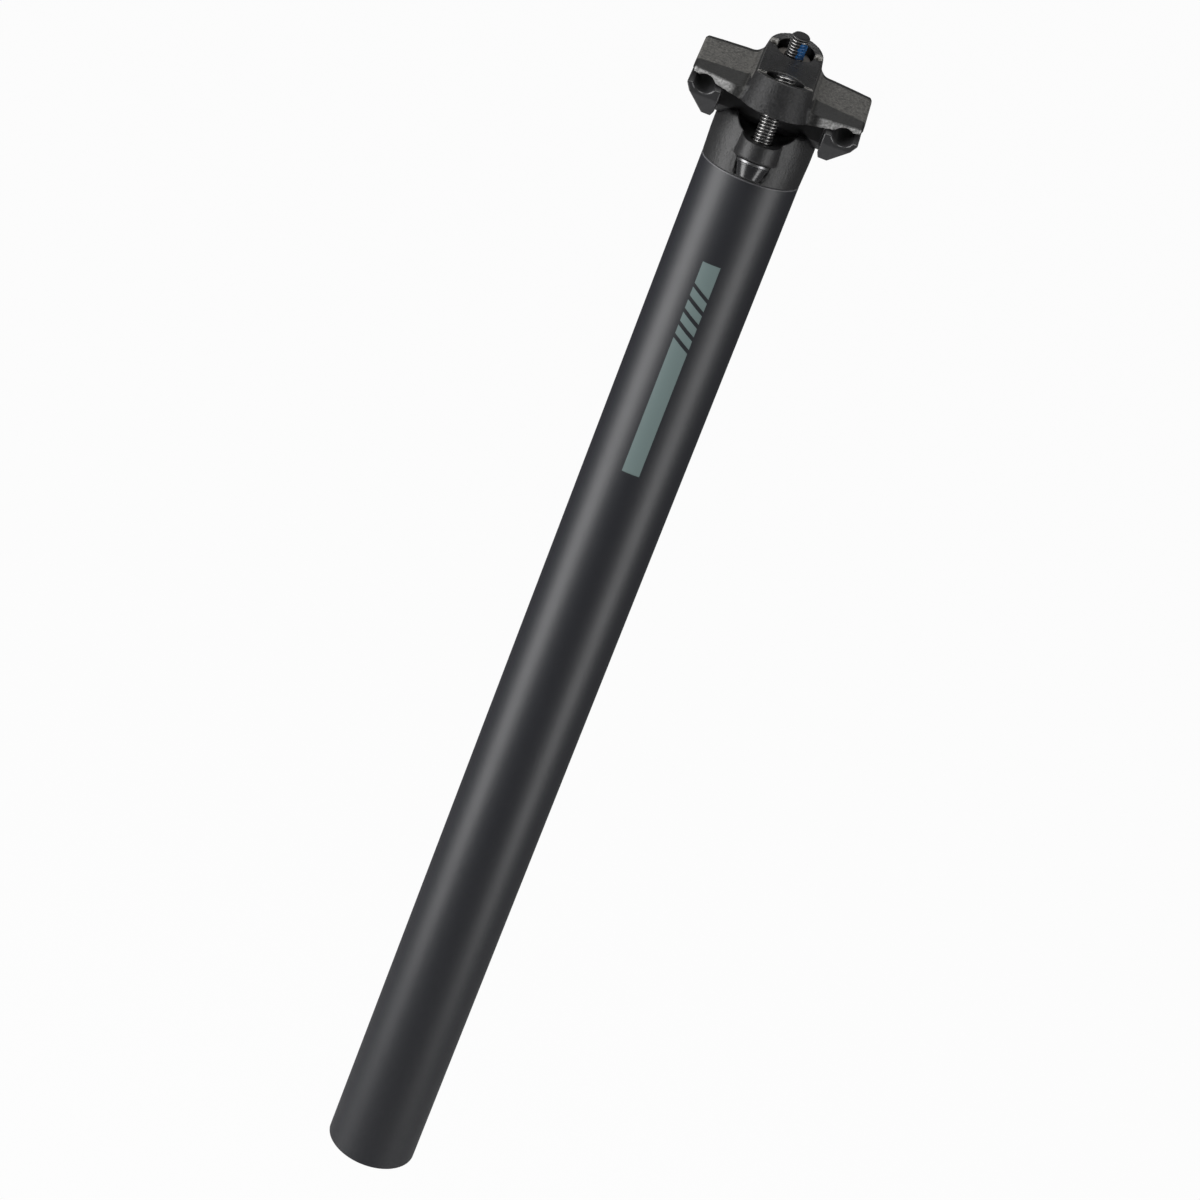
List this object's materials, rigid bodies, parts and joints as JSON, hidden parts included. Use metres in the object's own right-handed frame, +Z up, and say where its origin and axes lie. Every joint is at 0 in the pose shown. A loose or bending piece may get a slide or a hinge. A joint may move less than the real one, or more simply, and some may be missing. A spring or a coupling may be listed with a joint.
{
  "type": "bicycle seatpost",
  "caption": "Round composite seatpost with a forged head and a tilting clamp for a bicycle saddle's rails.",
  "frame": {"origin": "centre of the tube's open lower end", "axes": "+Z up along the tube, X across the saddle rails, -Y towards the front bolt; the camera of the picture stands on the -Y side"},
  "size_m": [0.0542, 0.0493, 0.4247],
  "materials": {
    "tube_composite": "matt black clear-coated carbon fibre composite",
    "head_alloy": "fine-grained black anodised forging",
    "cradle_alloy": "glossy black anodised",
    "clamp_alloy": "grainy satin black anodised forging",
    "bolt_steel": "gloss black plated, with bright thread crests",
    "washer_steel": "bright turned steel",
    "nut_steel": "dark turned steel"
  },
  "bodies": {
    "root": {"post_tube": "tube_composite", "head_forging": "head_alloy"},
    "clamp": {"lower_cradle": "cradle_alloy", "upper_clamp": "clamp_alloy"},
    "front_bolt": {"front_bolt": "bolt_steel", "front_washer": "washer_steel"},
    "rear_bolt": {"rear_bolt": "bolt_steel", "rear_washer": "washer_steel"},
    "front_nut": {"front_barrel_nut": "nut_steel"},
    "rear_nut": {"rear_barrel_nut": "nut_steel"}
  },
  "joints": [
    {"name": "clamp_tilt", "type": "hinge", "parent": "root", "child": "clamp", "pos_m": [0, 0, 0.4082], "axis": [1, 0, 0], "range_deg": [-15, 2.5]},
    {"name": "front_bolt_swing", "type": "hinge", "parent": "root", "child": "front_bolt", "pos_m": [0, -0.0187, 0.385], "axis": [1, 0, 0], "range_deg": [-1.3, 0.3]},
    {"name": "rear_bolt_swing", "type": "hinge", "parent": "root", "child": "rear_bolt", "pos_m": [0, 0.0187, 0.385], "axis": [1, 0, 0], "range_deg": [-1.6, 0.4]},
    {"name": "front_nut_turn", "type": "hinge", "parent": "clamp", "child": "front_nut", "pos_m": [0, -0.01415, 0.41148], "axis": [1, 0, 0], "range_deg": [-2.5, 14]},
    {"name": "rear_nut_turn", "type": "hinge", "parent": "clamp", "child": "rear_nut", "pos_m": [0, 0.01282, 0.41503], "axis": [1, 0, 0], "range_deg": [-2.4, 13.7]}
  ],
  "couplings": [
    {"joint": "front_bolt_swing", "follows": "clamp_tilt", "ratio": 0.078},
    {"joint": "rear_bolt_swing", "follows": "clamp_tilt", "ratio": 0.098},
    {"joint": "front_nut_turn", "follows": "clamp_tilt", "ratio": -0.922},
    {"joint": "rear_nut_turn", "follows": "clamp_tilt", "ratio": -0.902}
  ]
}
